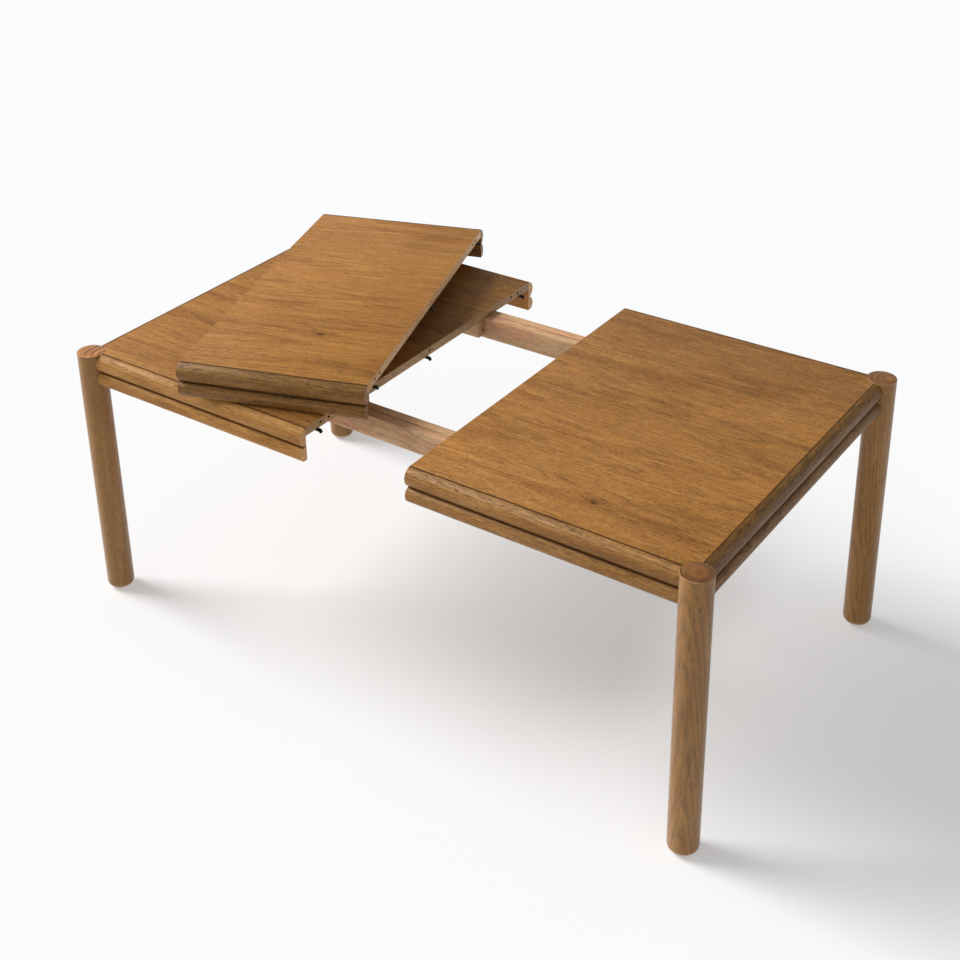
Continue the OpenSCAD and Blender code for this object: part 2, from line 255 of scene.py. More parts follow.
def bore(piece, cutter_mesh):
    """Cuts the rods of cutter_mesh out of a piece for good."""
    cutter = object_of("cutter", cutter_mesh)
    cut = piece.modifiers.new("bore", "BOOLEAN")
    cut.operation, cut.solver, cut.object = "DIFFERENCE", "EXACT", cutter
    bpy.context.view_layer.update()
    bored = bpy.data.meshes.new_from_object(
        piece.evaluated_get(bpy.context.evaluated_depsgraph_get())
    )
    piece.modifiers.remove(cut)
    old, piece.data = piece.data, bored
    bored.name = piece.name
    bpy.data.meshes.remove(old)
    unwanted = cutter.data
    bpy.data.objects.remove(cutter)
    bpy.data.meshes.remove(unwanted)


def settle(piece, matrix, node, material):
    """Shades a finished piece, puts it in place and lets it stand for its CAD node."""
    mesh = piece.data
    mesh.polygons.foreach_set("use_smooth", [True] * len(mesh.polygons))
    mesh.set_sharp_from_angle(angle=SHARP_ANGLE)
    mesh.materials.clear()
    mesh.materials.append(material)
    piece.matrix_world = matrix
    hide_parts(node)
    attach(piece, BODY_OF[node])


# ---- Material graphs ----


def rgb(red, green, blue):
    """A colour from its 0 to 255 display values."""
    return (*(((v / 255 + 0.055) / 1.055) ** 2.4 for v in (red, green, blue)), 1.0)


class Graph:
    """A material's nodes, with one short call for each kind."""

    def __init__(self, name):
        self.material = bpy.data.materials.new(name)
        self.material.use_nodes = True
        self.tree = self.material.node_tree
        self.shader = self.tree.nodes["Principled BSDF"].inputs

    def add(self, kind, *inputs, **settings):
        node = self.tree.nodes.new("ShaderNode" + kind)
        for key, value in settings.items():
            setattr(node, key, value)
        for socket, value in zip(node.inputs, inputs):
            self.put(socket, value)
        return node

    def put(self, socket, value):
        if isinstance(value, bpy.types.NodeSocket):
            self.tree.links.new(value, socket)
        elif value is not None:
            socket.default_value = value

    def math(self, operation, *values):
        return self.add("Math", *values, operation=operation).outputs[0]

    def plus(self, *values):
        total = values[0]
        for value in values[1:]:
            total = self.math("ADD", total, value)
        return total

    def times(self, a, b):
        return self.math("MULTIPLY", a, b)

    def step(self, value, low, high):
        """0 below low and 1 above high, with a smooth change between them."""
        node = self.add("MapRange", value, low, high, 0.0, 1.0, interpolation_type="SMOOTHSTEP")
        return node.outputs[0]

    def split(self, vector):
        return self.add("SeparateXYZ", vector).outputs

    def join(self, x, y, z):
        return self.add("CombineXYZ", x, y, z).outputs[0]

    def scaled(self, vector, factors):
        node = self.add("VectorMath", vector, factors, operation="MULTIPLY")
        return node.outputs[0]

    def noise(self, vector, detail=2.0, roughness=0.5, lean=0.0):
        node = self.add("TexNoise", noise_dimensions="3D")
        self.put(node.inputs["Vector"], vector)
        self.put(node.inputs["Scale"], 1.0)
        self.put(node.inputs["Detail"], detail)
        self.put(node.inputs["Roughness"], roughness)
        self.put(node.inputs["Distortion"], lean)
        return node.outputs["Fac"]

    def blend(self, factor, a, b):
        node = self.add("Mix", data_type="RGBA", clamp_factor=True)
        self.put(node.inputs[0], factor)
        self.put(node.inputs[6], a)
        self.put(node.inputs[7], b)
        return node.outputs[2]

    def brighten(self, colour, value):
        node = self.add("VectorMath", colour, operation="SCALE")
        self.put(node.inputs["Scale"], value)
        return node.outputs[0]

    def relief(self, height, depth):
        node = self.add("Bump")
        self.put(node.inputs["Strength"], 1.0)
        self.put(node.inputs["Distance"], depth)
        self.put(node.inputs["Height"], height)
        self.put(self.shader["Normal"], node.outputs[0])

    def finish(self, colour, roughness, specular=0.35, metallic=0.0):
        self.put(self.shader["Base Color"], colour)
        self.put(self.shader["Roughness"], roughness)
        self.put(self.shader["Specular IOR Level"], specular)
        self.put(self.shader["Metallic"], metallic)
        return self.material


# ---- Woods ----


class Look(NamedTuple):
    """How one kind of wood looks. Strengths are shares of the colour's brightness."""

    base: tuple
    deep: tuple
    pale: tuple
    end: tuple
    worn: tuple
    ring_step: float
    ring: float
    streak: float
    fine: float
    pore: float
    fleck: float
    patch: float
    wear: float
    rough: float
    sheen: float
    coat: float
    # painted shade: how much darker the faces that look across the grain are drawn
    side: float


TOP_LOOK = Look(
    base=rgb(169, 115, 54),
    deep=rgb(138, 86, 32),
    pale=rgb(192, 142, 76),
    end=rgb(204, 162, 116),
    worn=rgb(196, 152, 98),
    ring_step=0.0055,
    ring=0.04,
    streak=1.2,
    fine=1.9,
    pore=0.2,
    fleck=0.08,
    patch=0.6,
    wear=0.45,
    rough=0.48,
    sheen=0.0,
    coat=0.0,
    side=0.0,
)
BEAD_LOOK = Look(
    base=rgb(148, 101, 46),
    deep=rgb(118, 76, 32),
    pale=rgb(176, 134, 80),
    end=rgb(186, 142, 96),
    # the pale crest of a bead: rubbed wear and a painted highlight
    worn=rgb(206, 162, 100),
    ring_step=0.0050,
    ring=0.07,
    streak=1.1,
    fine=1.5,
    pore=0.22,
    fleck=0.11,
    patch=0.5,
    wear=0.24,
    rough=0.42,
    sheen=0.0,
    coat=0.0,
    side=0.0,
)
LEG_LOOK = Look(
    base=rgb(148, 103, 48),
    deep=rgb(120, 80, 36),
    pale=rgb(172, 130, 76),
    end=rgb(138, 86, 24),
    worn=rgb(222, 188, 146),
    ring_step=0.0045,
    ring=0.14,
    streak=0.95,
    fine=1.3,
    pore=0.22,
    fleck=0.08,
    patch=0.35,
    wear=0.85,
    rough=0.40,
    sheen=0.35,
    coat=0.3,
    side=0.0,
)
SLIDE_LOOK = Look(
    base=rgb(214, 172, 126),
    deep=rgb(214, 150, 114),
    pale=rgb(230, 200, 162),
    end=rgb(188, 146, 106),
    worn=rgb(232, 206, 172),
    ring_step=0.0045,
    ring=0.08,
    streak=0.9,
    fine=0.6,
    pore=0.12,
    fleck=0.025,
    patch=0.6,
    wear=0.6,
    rough=0.50,
    sheen=0.0,
    coat=0.0,
    # painted shade: the rails' upright faces drawn darker than their tops
    side=0.26,
)
ROSY_LOOK = SLIDE_LOOK._replace(base=rgb(226, 177, 132), deep=rgb(222, 146, 112))
INNER_LOOK = SLIDE_LOOK._replace(
    base=rgb(190, 150, 108),
    deep=rgb(168, 124, 82),
    end=rgb(176, 134, 92),
    patch=0.5,
    rough=0.62,
    side=0.0,
)
# The colour of dark glue lines, and of the painted shade in an apron's groove
JOINT_AND_GROOVE_SHADE_DARK = rgb(60, 36, 14)
KNOT_DARK = rgb(70, 34, 16)
GROOVE_SHADE = 0.6
SHEEN_ROUGH = 0.35
SHEEN_TINT = (1.0, 0.92, 0.82, 1.0)
COAT_ROUGH = 0.16
WOOD_SPECULAR = 0.22
WOOD_RELIEF = 0.0006

# The scales of each noise per metre: along the grain, across it and into the wood
STREAKS = (34.0, 300.0, 300.0)
FIBRES = (110.0, 900.0, 900.0)
CLOUDS = (1.6, 7.0, 7.0)
PORES = (55.0, 1700.0, 1700.0)
FLECKS = (70.0, 620.0, 620.0)
PATCHES = (2.4, 13.0, 13.0)
LIGHTS = (6.0, 50.0, 50.0)
SWAYS = (1.3, 5.0, 5.0)
ARC_STEP = 0.008
ARCS_ACROSS = 30.0

# How far apart in the noise two pieces, or two planks of one board, are cut
PIECE_SHIFT = 3.1
PLANK_START = 0.37
PLANK_SHIFT = 7.0
ARC_SHIFT = 1.7

# Where a plank lies across the rings, in widths of the plank: the first place and the spread
HEART_START = -0.9
HEART_SPREAD = 0.8

# Shares of the brightness, or of a colour, that don't differ between the woods
CLOUD_SHARE = 0.35
LIGHT_SHARE = 0.42
PLANK_SHARE = 0.08
END_RING_SHARE = 0.16
LEG_ARC_SHARE = 2.4
BOARD_ARC_SHARE = 0.6
KNOT_SHARE = 0.8
HALO_SHARE = 0.45
KNOT_BEND = 0.012
DARKEST = 0.25

# The glue line along a board: its half width with its soft rim, and how far down it is drawn
SEAM_RIM = (0.0010, 0.0025)
SEAM_DOWN = (0.003, 0.002)

# The groove of an apron, where shade is painted: out from its inner face, and down from the table's
# top
GROOVE_IN = (-0.004, 0.0)
GROOVE_OUT = (0.007, 0.012)
GROOVE_TOP = (0.047, 0.050)
GROOVE_FOOT = (0.053, 0.055)

# How far the rings wander across the grain and into the wood, and where one rises and falls
RING_SWAY = (0.05, 0.03)
RING_RISE = (0.25, 0.85)
RING_FALL = (0.88, 1.0)

# How far a face turns to count as end grain, as the crest of a bead, and as an eased edge
END_TURN = (0.55, 0.9)
CREST_RISE = (0.18, 0.7)
CREST_FALL = (0.93, 0.995)
EDGE_TURN = (0.02, 0.2)

# The streaks of a bead's pale crest, rubbed wear with a painted highlight, and the streaks that wear
# has rubbed on an edge
CREST_WEAR_AND_HIGHLIGHT = (-0.3, 0.2)
EDGE_RUBBED = (-0.2, 0.1)

# A knot's stretch along the grain, and its heart and halo as shares of its size
KNOT_STRETCH = 0.55
KNOT_HEART = 0.35
KNOT_HALO = 4


class Cut(NamedTuple):
    """How one piece was cut from the log, and where its glue line runs.

    Its tone is changed by painted light and shade: by a constant, by a slope along it and by a slope
    across it.
    """

    axis: str = "X"
    seed: float = 0.0
    pith: tuple = (0.0, 0.0)
    slope: float = 0.02
    plank: float = 0.0
    joint: float = 0.0
    joint_axis: int = 1
    # a bead: its groove gets painted shade, and its crest pale wear with a painted highlight
    crest: bool = False
    knots: tuple = ()
    # painted light and shade: the tone's constant, its slope along and its slope across
    fade: tuple = (0.0, 0.0, 0.0)


AXES = {"X": (0, 1, 2), "Y": (1, 0, 2), "Z": (2, 0, 1)}


def planked(g, across, cut):
    """The place across one plank, and the plank's own random value."""
    cell = g.plus(g.math("DIVIDE", across, cut.plank), PLANK_START + cut.seed)
    index = g.math("FLOOR", cell)
    chance = g.add("TexWhiteNoise", noise_dimensions="1D")
    g.put(chance.inputs["W"], index)
    value = chance.outputs["Value"]
    offset = g.plus(g.math("FRACT", cell), g.times(value, HEART_SPREAD), HEART_START)
    local = g.times(offset, cut.plank)
    return local, value


def growth_rings(g, along, across, depth, cut, look, grain):
    """Dark latewood lines, 0 to 1, at equal distances from the pith, and that distance."""
    sway = g.plus(g.noise(g.scaled(grain, SWAYS), 3.0), -0.5)
    side = g.plus(across, -cut.pith[0], g.times(sway, RING_SWAY[0]))
    rise = g.plus(depth, -cut.pith[1], g.times(along, cut.slope), g.times(sway, RING_SWAY[1]))
    reach = g.math("SQRT", g.plus(g.times(side, side), g.times(rise, rise)))
    turn = g.math("FRACT", g.math("DIVIDE", reach, look.ring_step))
    falling = g.math("SUBTRACT", 1.0, g.step(turn, *RING_FALL))
    return g.times(g.step(turn, *RING_RISE), falling), reach


def knot_mask(g, along, across, cut):
    """1 in the middle of a knot, falling to 0 at its rim, and its wider halo."""
    core, halo = 0.0, 0.0
    for x, y, size in cut.knots:
        dx = g.times(g.plus(along, -x), KNOT_STRETCH)
        dy = g.plus(across, -y)
        far = g.math("SQRT", g.plus(g.times(dx, dx), g.times(dy, dy)))
        core = g.plus(core, g.math("SUBTRACT", 1.0, g.step(far, size * KNOT_HEART, size)))
        halo = g.plus(halo, g.math("SUBTRACT", 1.0, g.step(far, size, size * KNOT_HALO)))
    return core, halo


class Spot(NamedTuple):
    """A point of a piece: where it is, how its face turns, and end is 1 across the grain."""

    at: object
    along: object
    across: object
    depth: object
    facing: list
    # how far the face looks across the grain, which sets the painted side shade
    side: object
    end: object


def spot_of(g, cut):
    coords = g.add("TexCoord").outputs
    order = AXES[cut.axis]
    at = g.split(coords["Object"])
    along, across, depth = (at[i] for i in order)
    facing = [g.math("ABSOLUTE", n) for n in list(g.split(coords["Normal"]))]
    end = g.step(facing[order[0]], *END_TURN)
    return Spot(at, along, across, depth, facing, facing[order[1]], end)


class Figure(NamedTuple):
    """A wood's figure. The arcs, streak, fine and broad lie about 0, the others from 0 to 1."""

    plank: object
    rings: object
    arcs: object
    streak: object
    fine: object
    broad: object
    pore: object
    fleck: object
    patch: object
    light: object


def figure_of(g, spot, look, cut, halo):
    """The figure at a point. Each plank of a board has its own start in the noise."""
    start = g.plus(spot.along, cut.seed * PIECE_SHIFT)
    plank, local = 0.5, spot.across
    if cut.plank:
        local, plank = planked(g, spot.across, cut)
        start = g.plus(start, g.times(plank, PLANK_SHIFT))
    if cut.knots:
        local = g.plus(local, g.times(halo, KNOT_BEND))
    grain = g.join(start, spot.across, spot.depth)
    rings, reach = growth_rings(g, spot.along, local, spot.depth, cut, look, grain)
    years = g.math("DIVIDE", reach, ARC_STEP)
    ripple = g.join(years, g.times(spot.across, ARCS_ACROSS), cut.seed * ARC_SHIFT)

    def even(scales, detail, roughness=0.5):
        return g.plus(g.noise(g.scaled(grain, scales), detail, roughness), -0.5)

    def marks(scales, detail, roughness, low, high):
        return g.step(g.noise(g.scaled(grain, scales), detail, roughness), low, high)

    return Figure(
        plank=plank,
        rings=rings,
        arcs=g.plus(g.noise(ripple, 2.0), -0.5),
        streak=even(STREAKS, 4.0, 0.66),
        fine=even(FIBRES, 3.0, 0.6),
        broad=even(CLOUDS, 2.0),
        pore=g.times(marks(PORES, 1.0, 0.5, 0.56, 0.68), g.plus(0.35, rings)),
        fleck=marks(FLECKS, 2.0, 0.5, 0.58, 0.70),
        patch=marks(PATCHES, 4.0, 0.6, 0.48, 0.66),
        light=marks(LIGHTS, 4.0, 0.6, 0.46, 0.70),
    )


def wood_colour(g, spot, figure, look, cut, knots):
    """Patches and pale streaks, end grain, knots, wear, a painted highlight on a bead's crest, dark
    glue lines and painted shade in an apron's groove.
    """
    core, halo = knots
    colour = g.blend(g.times(figure.patch, look.patch), look.base, look.deep)
    colour = g.blend(g.times(figure.light, LIGHT_SHARE), colour, look.pale)
    colour = g.blend(spot.end, colour, look.end)
    if cut.knots:
        colour = g.blend(g.times(halo, HALO_SHARE), colour, look.deep)
        colour = g.blend(g.times(core, KNOT_SHARE), colour, KNOT_DARK)
    # pale wear on eased edges, and on a bead's crest wear with a painted highlight
    bare = edge_wear_and_crest_highlight(g, spot.facing, cut, figure.streak)
    colour = g.blend(g.times(bare, look.wear), colour, look.worn)
    # dark glue lines, and painted shade in an apron's groove
    if cut.joint:
        colour = g.blend(glue_line_and_groove_shade(g, spot, cut), colour, JOINT_AND_GROOVE_SHADE_DARK)
    return colour


def wood_tone(g, spot, figure, look, cut):
    """How bright the colour is at a point, about 1."""
    arc_share = LEG_ARC_SHARE if cut.axis == "Z" else BOARD_ARC_SHARE
    tone = g.plus(
        1.0,
        g.times(figure.streak, look.streak),
        g.times(figure.fine, look.fine),
        g.times(figure.broad, CLOUD_SHARE),
        g.times(figure.rings, g.plus(-look.ring, g.times(spot.end, -END_RING_SHARE))),
        g.times(g.times(figure.arcs, spot.end), arc_share),
        # painted shade on faces that look across the grain
        g.times(spot.side, -look.side),
        g.times(figure.pore, -look.pore),
        g.times(figure.fleck, look.fleck),
        g.times(g.plus(figure.plank, -0.5), PLANK_SHARE),
        # painted light and shade: tone lifted or lowered as the key light falls and where the leaf's
        # shadow lies
        cut.fade[0],
        g.times(spot.along, cut.fade[1]),
        g.times(spot.across, cut.fade[2]),
    )
    return g.math("MAXIMUM", tone, DARKEST)


def wood(name, look, cut):
    g = Graph(name)
    spot = spot_of(g, cut)
    knots = knot_mask(g, spot.along, spot.across, cut)
    figure = figure_of(g, spot, look, cut, knots[1])
    colour = wood_colour(g, spot, figure, look, cut, knots)
    colour = g.brighten(colour, wood_tone(g, spot, figure, look, cut))
    streak, fine, broad, pore = figure.streak, figure.fine, figure.broad, figure.pore
    g.relief(g.plus(g.times(streak, 0.8), g.times(fine, 0.8), g.times(pore, -0.6)), WOOD_RELIEF)
    rough = g.plus(look.rough, g.times(streak, -0.25), g.times(pore, 0.15), g.times(broad, 0.2))
    g.put(g.shader["Coat Weight"], look.coat)
    g.put(g.shader["Coat Roughness"], COAT_ROUGH)
    g.put(g.shader["Sheen Weight"], look.sheen)
    g.put(g.shader["Sheen Roughness"], SHEEN_ROUGH)
    g.put(g.shader["Sheen Tint"], SHEEN_TINT)
    return g.finish(colour, rough, WOOD_SPECULAR)


def glue_line_and_groove_shade(g, spot, cut):
    """1 on the glue line between a board and its apron and, on an apron, in its groove, where shade
    is painted.
    """
    out, height = spot.at[cut.joint_axis], spot.at[2]
    seam = g.math("ABSOLUTE", g.plus(g.math("ABSOLUTE", out), -cut.joint))
    line = g.math("SUBTRACT", 1.0, g.step(seam, *SEAM_RIM))
    line = g.times(line, g.step(height, *(TOP_Z - down for down in SEAM_DOWN)))
    # painted shade in the groove of an apron
    if cut.crest:
        line = g.math("MAXIMUM", line, painted_groove_shade(g, out, height, cut.joint))
    return line


def painted_groove_shade(g, across, height, joint):
    """1 in the groove between the two beads, where shade is painted."""
    out = g.plus(g.math("ABSOLUTE", across), -joint - APRON_IN)
    down = g.math("SUBTRACT", TOP_Z, height)
    inner = g.times(g.step(out, *GROOVE_IN), g.math("SUBTRACT", 1.0, g.step(out, *GROOVE_OUT)))
    under = g.times(g.step(down, *GROOVE_TOP), g.math("SUBTRACT", 1.0, g.step(down, *GROOVE_FOOT)))
    return g.times(g.times(inner, under), GROOVE_SHADE)


def edge_wear_and_crest_highlight(g, facing, cut, streak):
    """Where handling has lightened the wood: eased edges, and the crest of a bead, whose pale band
    is also a painted highlight.
    """
    up = facing[2]
    # painted highlight with rubbed wear on the upward-facing crest of a bead
    if cut.crest:
        fall = g.math("SUBTRACT", 1.0, g.step(up, *CREST_FALL))
        return g.times(g.times(g.step(up, *CREST_RISE), fall), g.step(streak, *CREST_WEAR_AND_HIGHLIGHT))
    round_side = g.math("SQRT", g.math("SUBTRACT", 1.0, g.times(up, up)))
    upright = round_side if cut.axis == "Z" else g.math("MAXIMUM", facing[0], facing[1])
    turned = g.math("SUBTRACT", 1.0, g.math("MAXIMUM", upright, up))
    return g.times(g.step(turned, *EDGE_TURN), g.step(streak, *EDGE_RUBBED))


# ---- Steel and felt ----
STEEL_MOTTLE = (160.0, 160.0, 160.0)
STEEL_BRUSHED = (900.0, 90.0, 900.0)
STEEL_BARE = (340.0, 340.0, 340.0)
STEEL_RELIEF = 0.0002
FELT_FIBRE = (900.0, 900.0, 900.0)
FELT_DUST = (60.0, 60.0, 60.0)
FELT_RELIEF = 0.0006
FELT_DARK = rgb(66, 60, 54)
FELT_PALE = rgb(106, 98, 90)


def metal(name, colour, worn, roughness, metallic):
    """Steel with brushed grain, a mottled finish and lighter worn spots."""
    g = Graph(name)
    place = g.add("TexCoord").outputs["Object"]
    mottle = g.noise(g.scaled(place, STEEL_MOTTLE), 4.0, 0.6)
    brushed = g.noise(g.scaled(place, STEEL_BRUSHED), 2.0)
    bare = g.step(g.noise(g.scaled(place, STEEL_BARE), 3.0, 0.7), 0.58, 0.70)
    shade = g.blend(g.times(bare, 0.5), colour, worn)
    shade = g.brighten(shade, g.plus(0.75, g.times(mottle, 0.5)))
    g.relief(g.plus(brushed, mottle), STEEL_RELIEF)
    rough = g.plus(roughness - 0.1, g.times(mottle, 0.2))
    return g.finish(shade, rough, 0.5, metallic)


def felt(name):
    """Pressed felt of the foot glides, with short fibres."""
    g = Graph(name)
    place = g.add("TexCoord").outputs["Object"]
    fibre = g.noise(g.scaled(place, FELT_FIBRE), 5.0, 0.7, 1.5)
    dust = g.noise(g.scaled(place, FELT_DUST), 2.0)
    shade = g.blend(g.step(fibre, 0.35, 0.65), FELT_DARK, FELT_PALE)
    shade = g.brighten(shade, g.plus(0.7, g.times(dust, 0.6)))
    g.relief(fibre, FELT_RELIEF)
    return g.finish(shade, g.plus(0.85, g.times(dust, 0.1)), 0.2)


# ---- Pieces ----


def leg_notch(side):
    """The arc where a half's corner meets its near leg, from the long edge to the end edge."""
    radius = LEG_R + COPE_GAP
    inset = LEG_X - PANEL_X
    turn = math.degrees(math.asin(inset / radius))
    return [
        (side * x, y) for x, y in arc((LEG_X, -LEG_Y), radius, 180 - turn, 90 + turn, 20)
    ]


def bore_pins(piece, edge_x, inward):
    """Bores the dowel holes of a seam edge, with play where another piece's pins enter it."""
    start, end = edge_x - inward * BORE_LEAD, edge_x + inward * PIN_DEPTH
    play = PIN_PLAY if inward < 0 else 0.0
    bore(piece, rods([((start, y, PIN_Z), (end, y, PIN_Z)) for y in PIN_YS], 0, PIN_R + play))


def board(node, outline, seams, place, cut):
    """A flat board. Each seam edge is its x and the direction, 1 or -1, into the wood."""
    rings = [[(x, y, z) for x, y in outline] for z in (UNDER_Z, TOP_Z)]
    piece = object_of(node + "_wood", ease(loft(rings), EDGE_EASE))
    for edge_x, inward in seams:
        bore_pins(piece, edge_x, inward)
    settle(piece, place, node, wood(node + "_oak", TOP_LOOK, cut))


def half_board(node, side, cut):
    near = leg_notch(side)
    outline = [(side * SEAM_X, -PANEL_Y), *near]
    outline += [(x, -y) for x, y in reversed(near)] + [(side * SEAM_X, PANEL_Y)]
    board(node, outline, [(side * SEAM_X, side)], TABLE, cut)


def leaf_board(node, cut):
    half = LEAF_W / 2
    outline = [(-half, -PANEL_Y), (half, -PANEL_Y), (half, PANEL_Y), (-half, PANEL_Y)]
    board(node, outline, [(half, -1), (-half, 1)], LEAF, cut)


def coped_end(out, side):
    """How far from the leg's centre a bead stops at this place in its section."""
    radius = LEG_R + COPE_GAP
    return side * math.sqrt(radius * radius - out * out)


def side_bead(node, place, start, end, far, cut, coped=0):
    """A double bead along x. Where coped is 1 or -1, it meets a leg centred on that end."""
    rows = []
    for x, meets in ((start, coped < 0), (end, coped > 0)):
        rows.append(
            [
                (x - (coped_end(out, coped) if meets else 0), far * (LEG_Y + out), z)
                for out, z in bead_section()
            ]
        )
    leg_end = end if coped > 0 else start

    def at_leg(edge):
        return coped and all(abs(v.co.x - leg_end) < 2 * LEG_R for v in edge.verts)

    piece = object_of(node + "_wood", ease(loft(rows), JOINT_EASE, at_leg))
    settle(piece, place, node, wood(node + "_oak", BEAD_LOOK, cut))


def end_bead(node, side, cut):
    """A double bead along y between a half's two legs."""
    rows = []
    for end in (-1, 1):
        rows.append(
            [
                (side * (LEG_X + out), end * LEG_Y - coped_end(out, end), z)
                for out, z in bead_section()
            ]
        )

    def at_leg(edge):
        return all(abs(abs(v.co.y) - LEG_Y) < 2 * LEG_R for v in edge.verts)

    piece = object_of(node + "_wood", ease(loft(rows), JOINT_EASE, at_leg))
    settle(piece, TABLE, node, wood(node + "_oak", BEAD_LOOK, cut))


def leg(node, cut, look=LEG_LOOK):
    """A turned post: flat sole, rounded foot, straight shaft and an eased top."""
    centre_r = LEG_R - FOOT_R
    profile = arc((centre_r, LEG_FOOT_Z + FOOT_R), FOOT_R, -90, 0, 14)
    profile += arc((LEG_R - LEG_EASE, TOP_Z - LEG_EASE), LEG_EASE, 0, 90, 4)
    rings = []
    for r, z in profile:
        spins = [2 * math.pi * i / LEG_STEPS for i in range(LEG_STEPS)]
        rings.append([(r * math.cos(t), r * math.sin(t), z) for t in spins])
    piece = object_of(node + "_wood", loft(rings))
    low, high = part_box(node)
    centre = (low + high) / 2
    place = Matrix.Translation((centre.x, centre.y, 0))
    settle(piece, place, node, wood(node + "_oak", look, cut))


def rail(node, slot_side, screw_xs, screw_side, cut, look):
    """A straight slide rail: its T slot faces slot_side, and its screws sit off the middle."""
    low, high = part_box(node)
    y = (low.y + high.y) / 2 - CENTRE_Y
    top = min(high.z, UNDER_Z - HOOK_RUN)
    section = rail_section(y, low.z, top, high.y - low.y, slot_side)
    rows = [[(x, v, w) for v, w in section] for x in (low.x, high.x)]
    piece = object_of(node + "_wood", ease(loft(rows), RAIL_EASE))
    if screw_xs:
        at = y + screw_side * SCREW_SHIFT
        holes = [((x, at, low.z - BORE_LEAD), (x, at, SCREW_Z)) for x in screw_xs]
        bore(piece, rods(holes, 2, SCREW_R))
    settle(piece, TABLE, node, wood(node + "_beech", look, cut))


def hook_path():
    """Stations of one hook: its upper and its lower (past the seam, z), and its half width."""
    tongue_top = UNDER_Z - HOOK_RUN
    curl = (HOOK_REACH - HOOK_TIP_R, tongue_top - HOOK_TIP_R)
    (corner_run, corner_in), (neck, tongue), trims = HOOK_CORNER, HOOK_NECK, HOOK_TRIMS
    stations = [
        (-HOOK_BACK, UNDER_Z, HOOK_PLATE, HOOK_HALF - corner_in),
        (-HOOK_BACK + corner_run, UNDER_Z, HOOK_PLATE, HOOK_HALF),
        (neck, UNDER_Z, HOOK_PLATE, HOOK_HALF),
        (tongue, tongue_top, HOOK_TONGUE, HOOK_HALF - trims[0]),
        (curl[0] * 0.5, tongue_top, HOOK_TONGUE, HOOK_HALF - trims[1]),
    ]
    path = [((s, top), (s, top - thick), half) for s, top, thick, half in stations]
    for i in range(HOOK_STEPS + 1):
        share = i / HOOK_STEPS
        turn = math.radians(90 - 90 * share)
        inner_r = HOOK_TIP_R - HOOK_TONGUE * (1 - HOOK_THINNING * share)
        outer, inner = (
            (curl[0] + r * math.cos(turn), curl[1] + r * math.sin(turn))
            for r in (HOOK_TIP_R, inner_r)
        )
        path.append((outer, inner, HOOK_HALF - trims[2] - HOOK_TAPER * share**2))
    return path


def hooks(node, place, seam_x, side, material):
    """Three stamped hooks under a seam edge, with curled and tapered tongues."""
    bm = bmesh.new()
    for y in HOOK_YS:
        rings = []
        for (s_top, z_top), (s_low, z_low), half in hook_path():
            x_top, x_low = seam_x + side * s_top, seam_x + side * s_low
            rings.append(
                [
                    (x_low, y - half, z_low),
                    (x_low, y + half, z_low),
                    (x_top, y + half, z_top),
                    (x_top, y - half, z_top),
                ]
            )
        one = ease(loft(rings), HOOK_EASE)
        mesh = bpy.data.meshes.new("hook")
        one.to_mesh(mesh)
        one.free()
        bm.from_mesh(mesh)
        bpy.data.meshes.remove(mesh)
    settle(object_of(node + "_steel", bm), place, node, material)


# ---- The table ----
PITH_Z = TOP_Z - 0.10
# Painted light and shade on the boards: the left half darker towards its seam and far side, where
# the leaf's shadow falls, the right half darker towards its far side, the leaf lighter
half_board(
    "left_panel",
    -1,
    Cut(seed=3, pith=(0, PITH_Z), plank=0.127, joint=PANEL_Y, fade=(-0.28, -0.38, -0.15)),
)
half_board(
    "right_panel",
    1,
    Cut(
        seed=1,
        pith=(0, PITH_Z),
        plank=0.145,
        joint=PANEL_Y,
        knots=((0.60, -0.40, 0.008), (0.32, 0.02, 0.005)),
        fade=(-0.06, 0.0, -0.17),
    ),
)
leaf_board(
    "leaf_panel",
    Cut(
        seed=2,
        pith=(0, PITH_Z),
        plank=0.169,
        joint=PANEL_Y,
        knots=((0.04, -0.27, 0.009),),
        fade=(0.16, 0.3, 0.16),
    ),
)

BEAD_PITH_Z = TOP_Z - 0.12
BEAD_PITH_IN = 0.04
for far, where in ((-1, "near"), (1, "far")):
    pith = (far * (LEG_Y - BEAD_PITH_IN), BEAD_PITH_Z)
    cut = Cut(pith=pith, joint=PANEL_Y, crest=True)
    # Painted light and shade on the aprons: the left ones lighter towards the key light, the right
    # ones and the leaf's skirts darker
    left = cut._replace(seed=4 + far, fade=(0.46, 0.14, 0.0))
    right = cut._replace(seed=8 + far, fade=(-0.13, 0.0, 0.0))
    skirt = cut._replace(seed=12 + far, fade=(-0.26, 0.0, 0.0))
    side_bead(f"left_{where}_apron", TABLE, -LEG_X, -SEAM_X, far, left, -1)
    side_bead(f"right_{where}_apron", TABLE, SEAM_X, LEG_X, far, right, 1)
    side_bead(f"leaf_{where}_skirt", LEAF, -LEAF_W / 2, LEAF_W / 2, far, skirt)
for side, half in ((-1, "left"), (1, "right")):
    pith = (side * (LEG_X - BEAD_PITH_IN), BEAD_PITH_Z)
    cut = Cut("Y", 15 + side, pith, joint=PANEL_X, joint_axis=0, crest=True)
    # painted shade: the end aprons darker, as they face away from the key light
    end_bead(f"{half}_end_apron", side, cut._replace(fade=(-0.34, 0.0, 0.0)))

